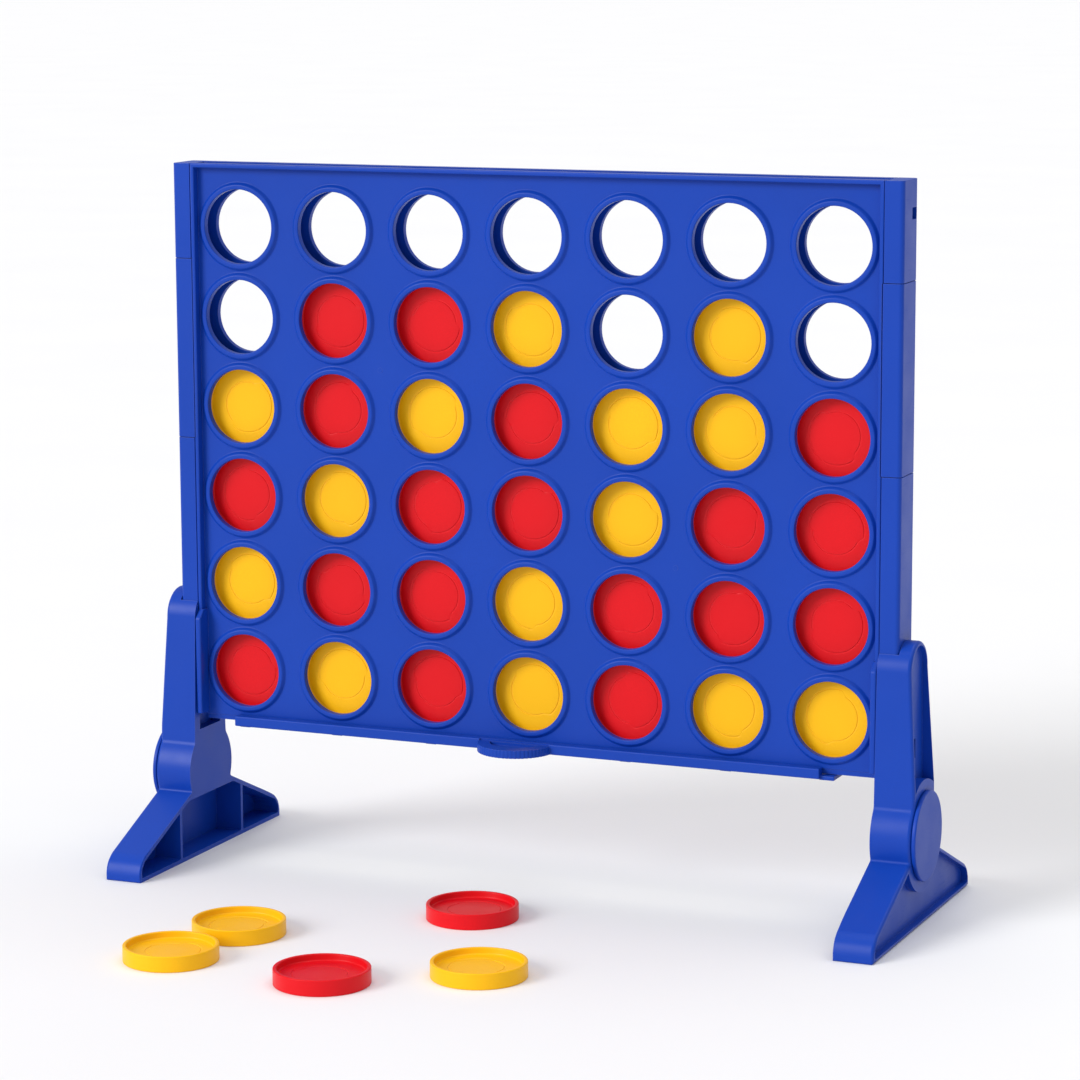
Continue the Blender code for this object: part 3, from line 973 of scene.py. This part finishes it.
def foot_line(inset):
    """Corners (y, z) of one side of the foot's outline, set in by a wall."""
    shoulder = (math.sqrt(HUB_RADIUS**2 - (HUB_Z - FOOT_SHOULDER_Z) ** 2), FOOT_SHOULDER_Z)
    run = Vector((TOE_TOP[0] - shoulder[0], TOE_TOP[1] - shoulder[1])).normalized()
    inward = Vector((run.y, -run.x)) * inset
    top = Vector(shoulder) + inward
    toe = Vector(TOE_TOP) + inward
    face_y = FOOT_HALF_LENGTH - inset
    return [tuple(top), tuple(toe), (face_y, TOE_FACE_Z), (face_y, inset)]


def on_slope(line, z=None, y=None):
    """The missing coordinate of a point on the sloping top of the foot."""
    (top_y, top_z), (toe_y, toe_z) = line[:2]
    if y is None:
        return top_y + (toe_y - top_y) * (top_z - z) / (top_z - toe_z)
    return top_z - (top_z - toe_z) * (y - top_y) / (toe_y - top_y)


def leg_solid():
    """The leg's outline, pushed across its width and tapered towards the top on the outside."""
    shape = bmesh.new()
    line = foot_line(0)
    hub_start = math.degrees(math.acos(LEG_HALF_DEPTH / HUB_RADIUS))
    hub_end = math.degrees(math.asin((HUB_Z - FOOT_SHOULDER_Z) / HUB_RADIUS))
    hub_top_z = HUB_Z + math.sqrt(HUB_RADIUS**2 - LEG_HALF_DEPTH**2)
    pen = Pen(shape, (ARCH_RADIUS, ARCH_Z))
    pen.arc((0, ARCH_Z), 180, 40)
    pen.line((-LEG_HALF_DEPTH, hub_top_z))
    pen.arc((0, HUB_Z), hub_start + hub_end, 20)
    pen.line(*[(-y, z) for y, z in line[1:]])
    pen.line(*reversed(line[1:]))
    pen.line(line[0])
    pen.arc((0, HUB_Z), hub_start + hub_end, 20)
    face = pen.face()
    bmesh.ops.translate(shape, verts=shape.verts, vec=(LEG_INNER_X, 0, 0))
    push(shape, face, (LEG_OUTER_X - LEG_INNER_X, 0, 0))
    toes = [
        edge
        for edge in shape.edges
        if along(edge, 0) and TOE_FACE_Z - TINY < middle(edge).z < TOE_TOP[1] + TINY
    ]
    round_off(shape, toes, 5 * MM, 5)
    waists = [
        edge
        for edge in shape.edges
        if along(edge, 0)
        and edge.calc_face_angle_signed(0) < -math.radians(12)
    ]
    round_off(shape, waists, 3 * MM, 4)
    for height in (LEG_TAPER_Z, ARCH_Z):
        bmesh.ops.bisect_plane(
            shape,
            geom=shape.verts[:] + shape.edges[:] + shape.faces[:],
            dist=TINY,
            plane_co=(0, 0, height),
            plane_no=(0, 0, 1),
        )
    for point in shape.verts:
        if point.co.x > LEG_OUTER_X - TINY:
            share = min(1, max(0, (point.co.z - LEG_TAPER_Z) / (ARCH_Z - LEG_TAPER_Z)))
            point.co.x -= share * (LEG_OUTER_X - LEG_TOP_OUTER_X)
    return shape


def outer_rim(edge):
    """Whether an edge belongs to the leg's outline on the outside."""
    return min(vert.co.x for vert in edge.verts) > LEG_TOP_OUTER_X - 1 * MM


def toe_rim(edge):
    """Whether an edge belongs to the outline of a toe on the inside, or runs along its sole."""
    if all(vert.co.z < TINY for vert in edge.verts):
        return along(edge, 0)
    inside = all(vert.co.x < LEG_INNER_X + TINY for vert in edge.verts)
    return inside and max(vert.co.z for vert in edge.verts) < TOE_TOP[1] + 10 * MM


def recess_above():
    """Cutter for the recess in the outside of the leg, above the ring round the hub."""
    shape = bmesh.new()
    side_y = LEG_HALF_DEPTH - WALL
    angle = 90 - math.degrees(math.acos(side_y / RING_RADIUS))
    pen = Pen(shape, (ARCH_RADIUS - WALL, ARCH_Z))
    pen.arc((0, ARCH_Z), 180, 36)
    pen.line((-side_y, HUB_Z + math.sqrt(RING_RADIUS**2 - side_y**2)))
    pen.arc((0, HUB_Z), -2 * angle, 20)
    face = pen.face()
    bmesh.ops.translate(shape, verts=shape.verts, vec=(UPPER_RECESS_X, 0, 0))
    push(shape, face, (20 * MM, 0, 0))
    return shape


def recess_below():
    """Cutter for the recess in the outside of the foot, below the ring round the hub."""
    shape = bmesh.new()
    line = foot_line(WALL)
    start, end = Vector(line[0]), Vector(line[1])
    run = (end - start).normalized()
    arm = start - Vector((0, HUB_Z))
    reach = -arm.dot(run) + math.sqrt(arm.dot(run) ** 2 - arm.length_squared + RING_RADIUS**2)
    crossing = start + run * reach
    angle = math.degrees(math.atan2(crossing.y - HUB_Z, crossing.x)) + 90
    pen = Pen(shape, (-crossing.x, crossing.y))
    pen.line(*[(-y, z) for y, z in line[1:]])
    pen.line(*reversed(line[1:]))
    pen.line(tuple(crossing))
    pen.arc((0, HUB_Z), -2 * angle, 40)
    bmesh.ops.remove_doubles(shape, verts=shape.verts, dist=TINY)
    bmesh.ops.contextual_create(shape, geom=shape.edges[:])
    shape.faces.ensure_lookup_table()
    bmesh.ops.translate(shape, verts=shape.verts, vec=(FOOT_RECESS_X, 0, 0))
    push(shape, shape.faces[0], (20 * MM, 0, 0))
    toes = [edge for edge in shape.edges if along(edge, 0) and middle(edge).z < TOE_TOP[1] + TINY]
    round_off(shape, toes, 2 * MM, 3)
    return shape


def foot_hollows():
    """Cutters for the open inside of the foot, between its ribs and outside them."""
    line = foot_line(WALL)
    near, far = RIB_Y - RIB_HALF, RIB_Y + RIB_HALF
    top_y = on_slope(line, z=HOLLOW_TOP_Z)
    half = [(top_y, HOLLOW_TOP_Z), (near, on_slope(line, y=near)), (near, WALL)]
    toe = [(far, on_slope(line, y=far)), *line[1:], (far, WALL)]
    outlines = [
        half + [(-y, z) for y, z in reversed(half)],
        toe,
        [(-y, z) for y, z in reversed(toe)],
    ]
    made = []
    for outline in outlines:
        shape = bmesh.new()
        start_x = LEG_INNER_X - WALL
        push(shape, new_face(shape, [(start_x, y, z) for y, z in outline]), (FOOT_WEB_X - start_x, 0, 0))
        round_off(shape, [edge for edge in shape.edges if along(edge, 0)], 1 * MM, 2)
        made.append(shape)
    return made


def leg_cuts():
    """Every cutter of the right leg."""
    deep_z = ARCH_Z + 2 * ARCH_RADIUS
    return [
        recess_above(),
        recess_below(),
        block(
            (LEG_INNER_X - WALL, -SOCKET_HALF_DEPTH, SOCKET_Z),
            (POST_OUTER_X + 0.3 * MM, SOCKET_HALF_DEPTH, deep_z),
        ),
        block(
            (LEG_INNER_X - WALL, -SOCKET_HALF_DEPTH, POCKET_Z),
            (POCKET_X, SOCKET_HALF_DEPTH, SOCKET_Z + WALL),
        ),
        block(
            (POST_OUTER_X, LEG_SLOT_Y[0], LEG_SLOT_Z[0]),
            (LEG_OUTER_X + WALL, LEG_SLOT_Y[1], LEG_SLOT_Z[1]),
        ),
        *foot_hollows(),
    ]


def build_leg(settings):
    shape = leg_solid()
    bmesh.ops.remove_doubles(shape, verts=shape.verts, dist=SHORTEST_EDGE)
    round_off(shape, sharp(shape, 50, outer_rim), settings.leg_round, 4, clamp=False)
    round_off(shape, sharp(shape, 50, toe_rim), settings.toe_round, 3, clamp=False)
    shape = carve(shape, leg_cuts(), "DIFFERENCE")
    tidy(shape)
    return shape


class FOUR_ROW_OT_legs(bpy.types.Operator):
    """Moulds the two slide-on legs"""

    bl_idname = "four_row.legs"
    bl_label = "Legs"

    def execute(self, context):
        settings = context.scene.four_row_board
        right = to_board(build_leg(settings))
        left = mirrored(right)
        for side, shape in (("right", right), ("left", left)):
            leg = add_piece(f"{side}_leg_moulding", shape, "blue_plastic", f"{side}_leg", [f"{side}_leg"])
            rounding = leg.modifiers.new("Fine rounding", "BEVEL")
            rounding.width = settings.cut_round
            rounding.segments = 2
            rounding.limit_method = "ANGLE"
            rounding.angle_limit = math.radians(50)
            rounding.miter_outer = "MITER_ARC"
            leg.modifiers.move(1, 0)
        return {"FINISHED"}


class FOUR_ROW_OT_caps(bpy.types.Operator):
    """Turns the two round hub caps"""

    bl_idname = "four_row.caps"
    bl_label = "Hub caps"

    def execute(self, context):
        low_x, high_x = CAP_LOW.x, CAP_HIGH.x
        outline = [
            (0, low_x),
            (CAP_RADIUS, low_x),
            (CAP_RADIUS, high_x),
            (CAP_RADIUS - 2 * MM, high_x),
            (0, high_x - 0.1 * MM),
        ]
        shape = turned(outline, 96)
        round_off(shape, sharp(shape, 50), 0.9 * MM)
        turn = Matrix.Rotation(math.pi / 2, 3, "Y")
        bmesh.ops.rotate(shape, cent=(0, 0, 0), matrix=turn, verts=shape.verts)
        bmesh.ops.translate(shape, verts=shape.verts, vec=(0, BOARD_Y, HUB_Z))
        left = mirrored(shape)
        add_piece("right_cap", shape, "blue_plastic", "right_leg", ["right_hub_cap"])
        add_piece("left_cap", left, "blue_plastic", "left_leg", ["left_hub_cap"])
        return {"FINISHED"}


# ---------------------------------------------------------------- discs


def disc_shape(settings, radius, thickness):
    """A disc lying face up round the origin."""
    half = thickness / 2
    floor_z = half - settings.recess
    inner = radius - settings.rim_width
    ring = settings.ring_radius
    groove = 0.4 * MM
    outline = [
        (0, floor_z),
        (ring - 0.8 * MM, floor_z),
        (ring - 0.35 * MM, floor_z - groove),
        (ring + 0.15 * MM, floor_z - groove),
        (ring + 0.6 * MM, floor_z),
        (inner - 0.5 * MM, floor_z),
        (inner, half),
        (radius, half),
        (radius, -half),
        (radius - 3.4 * MM, -half),
        (radius - 3.9 * MM, 0.5 * MM - half),
        (0, 0.5 * MM - half),
    ]
    shape = turned(outline, settings.sides)
    for point in shape.verts:
        arm = Vector((point.co.x, point.co.y))
        if point.co.z > 0 and ring - 1 * MM < arm.length < ring + 1 * MM:
            angle = math.degrees(math.atan2(arm.y, arm.x)) % 360
            share = min(1, max(0, min(angle - 4, 184 - angle) / 12))
            if point.co.z < floor_z - TINY:
                point.co.z += groove * (1 - abs(2 * share - 1)) * 0.9
            factor = 1 - share * settings.ring_step / ring
            point.co.x *= factor
            point.co.y *= factor

    def reach(edge):
        return Vector(middle(edge).xy).length

    rim = sharp(shape, 40, lambda edge: reach(edge) > inner - 1 * MM and middle(edge).z > floor_z + TINY)
    foot = sharp(shape, 40, lambda edge: reach(edge) > radius - 1 * MM and middle(edge).z < 0)
    round_off(shape, rim + foot, 0.7 * MM)

    def in_corner(edge):
        return inner - 1 * MM < reach(edge) < inner and abs(middle(edge).z - floor_z) < TINY

    corner = sharp(shape, 40, in_corner)
    round_off(shape, corner, 1.1 * MM)
    return shape


class FOUR_ROW_OT_discs(bpy.types.Operator):
    """Moulds every disc, in the columns and loose"""

    bl_idname = "four_row.discs"
    bl_label = "Discs"

    def execute(self, context):
        settings = context.scene.four_row_discs
        bodies = frame["record"]["behaviour"]["bodies"]
        discs = [(body, node) for body in bodies for node in bodies[body] if "disc_" in node]
        for number, (body, node) in enumerate(sorted(discs)):
            low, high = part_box(node)
            size = high - low
            upright = size.y < size.z
            shape = disc_shape(settings, size.x / 2, size.y if upright else size.z)
            spin = Matrix.Rotation(math.radians(137.5 * number), 3, "Z")
            turn = Matrix.Rotation(math.pi / 2, 3, "X") if upright else Matrix.Identity(3)
            bmesh.ops.rotate(shape, cent=(0, 0, 0), matrix=turn @ spin, verts=shape.verts)
            bmesh.ops.translate(shape, verts=shape.verts, vec=(low + high) / 2)
            slot = node.rsplit("_", 1)[1] + "_plastic"
            add_piece(node + "_moulding", shape, slot, body, [node])
        return {"FINISHED"}


# ---------------------------------------------------------------- stage


def floor_material(colour):
    nodes = Nodes("studio_floor")
    place = nodes.add("ShaderNodeTexCoord").outputs["Object"]
    drift = nodes.remap(nodes.noise(place, 3.0, 3.0), 0.0, 1.0)
    base = nodes.mix(drift, shade_of(colour, 0.985), shade_of(colour, 1.0))
    nodes.link(base, nodes.shader.inputs["Base Color"])
    nodes.shader.inputs["Roughness"].default_value = 0.75
    nodes.shader.inputs["Specular IOR Level"].default_value = 0.2
    return nodes.material


def soft_light(name, towards, strength, spread):
    """An even light from one direction, as soft as a wide lamp close by."""
    data = bpy.data.lights.new(name, "SUN")
    data.energy = strength
    data.angle = spread
    light = bpy.data.objects.new(name, data)
    bpy.context.scene.collection.objects.link(light)
    light.rotation_euler = Vector(towards).to_track_quat("Z", "Y").to_euler()
    return light


class FOUR_ROW_OT_stage(bpy.types.Operator):
    """Lays the floor and sets the lights and the camera"""

    bl_idname = "four_row.stage"
    bl_label = "Stage"

    def execute(self, context):
        scene = context.scene
        settings = scene.four_row_stage
        shape = bmesh.new()
        bmesh.ops.create_circle(shape, cap_ends=True, segments=64, radius=40)
        mesh = mesh_of(shape, "floor")
        mesh.materials.append(floor_material(tuple(settings.floor)))
        floor = bpy.data.objects.new("floor", mesh)
        scene.collection.objects.link(floor)

        world = bpy.data.worlds.new("studio")
        world.use_nodes = True
        background = world.node_tree.nodes["Background"]
        background.inputs["Color"].default_value = (1.0, 1.0, 1.0, 1.0)
        background.inputs["Strength"].default_value = settings.ambient
        scene.world = world
        soft_light("key_light", (-0.55, -0.8, 0.45), settings.key, math.radians(28))
        soft_light("top_light", (0.1, 0.1, 1.0), settings.top, math.radians(60))

        data = bpy.data.cameras.new("camera")
        data.sensor_width = 36.0
        data.lens = settings.lens
        data.clip_start, data.clip_end = 0.05, 200.0
        camera = bpy.data.objects.new("camera", data)
        scene.collection.objects.link(camera)
        aim = (
            Matrix.Rotation(settings.heading, 4, "Z")
            @ Matrix.Rotation(math.pi / 2 - settings.tilt, 4, "X")
            @ Matrix.Rotation(settings.roll, 4, "Z")
        )
        camera.matrix_world = Matrix.Translation(settings.camera_place) @ aim
        scene.camera = camera
        scene.view_settings.view_transform = "Standard"
        scene.view_settings.look = "None"
        return {"FINISHED"}


class FOUR_ROW_PT_panel(bpy.types.Panel):
    """Lists the steps and their settings"""

    bl_idname = "FOUR_ROW_PT_panel"
    bl_label = "Four in a Row"
    bl_space_type = "VIEW_3D"
    bl_region_type = "UI"
    bl_category = "Four in a Row"

    def draw(self, context):
        for operator in STEPS:
            self.layout.operator(operator.bl_idname)
        for name, settings in SETTINGS.items():
            box = self.layout.box()
            group = getattr(context.scene, name)
            for key in settings.__annotations__:
                box.prop(group, key)


SETTINGS = {
    "four_row_board": BoardSettings,
    "four_row_discs": DiscSettings,
    "four_row_finish": FinishSettings,
    "four_row_stage": StageSettings,
}
STEPS = (
    FOUR_ROW_OT_stage,
    FOUR_ROW_OT_panels,
    FOUR_ROW_OT_dividers,
    FOUR_ROW_OT_posts,
    FOUR_ROW_OT_slider,
    FOUR_ROW_OT_legs,
    FOUR_ROW_OT_caps,
    FOUR_ROW_OT_discs,
)


def register():
    for name, settings in SETTINGS.items():
        bpy.utils.register_class(settings)
        setattr(bpy.types.Scene, name, bpy.props.PointerProperty(type=settings))
    for operator in STEPS:
        bpy.utils.register_class(operator)
    bpy.utils.register_class(FOUR_ROW_PT_panel)


def unregister():
    bpy.utils.unregister_class(FOUR_ROW_PT_panel)
    for operator in reversed(STEPS):
        bpy.utils.unregister_class(operator)
    for name, settings in reversed(SETTINGS.items()):
        delattr(bpy.types.Scene, name)
        bpy.utils.unregister_class(settings)


def main():
    register()
    for operator in STEPS:
        group, name = operator.bl_idname.split(".")
        getattr(getattr(bpy.ops, group), name)()


if __name__ == "__main__":
    main()
